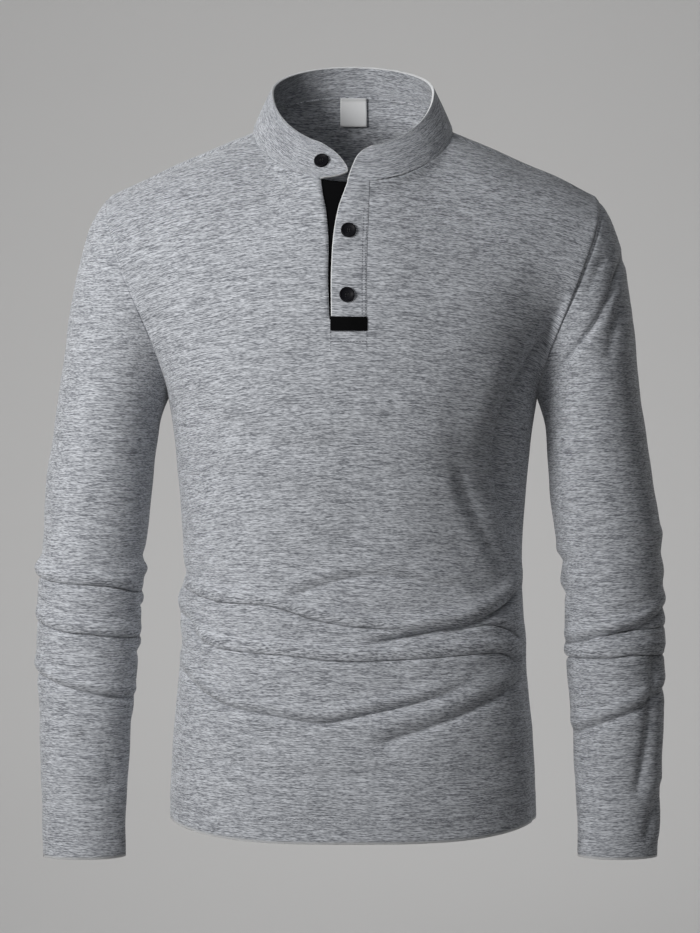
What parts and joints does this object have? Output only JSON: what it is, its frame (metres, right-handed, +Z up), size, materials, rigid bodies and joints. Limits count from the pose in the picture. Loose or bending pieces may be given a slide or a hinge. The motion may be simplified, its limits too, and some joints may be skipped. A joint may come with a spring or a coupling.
{
  "type": "long-sleeved polo shirt with a stand collar, filled out as worn",
  "caption": "Long-sleeved jersey polo shirt with a stand collar and a short buttoned placket, filled out as worn and hollow, open at neck, hem and cuffs.",
  "frame": {"origin": "middle of the neck opening, level with the inner ends of the shoulder seams, where the wearer's neck and shoulders hold the shirt", "axes": "+Z up, -Y the front of the shirt, +X the wearer's left"},
  "size_m": [0.6291, 0.2524, 0.7974],
  "materials": {
    "jersey": "heather grey single jersey with short horizontal light and dark streaks, matt with a faint sheen",
    "facing": "matt black plain-woven facing and tape",
    "buttons": "glossy black resin with a raised rim",
    "label": "white satin, blank"
  },
  "bodies": {
    "root": {"front": "jersey", "back": "jersey", "sleeve_left": "jersey", "sleeve_right": "jersey", "collar": "jersey", "placket_over": "jersey", "placket_under": "facing", "placket_bar": "facing", "button_collar": "buttons", "button_upper": "buttons", "button_lower": "buttons", "neck_label": "label"}
  },
  "joints": []
}
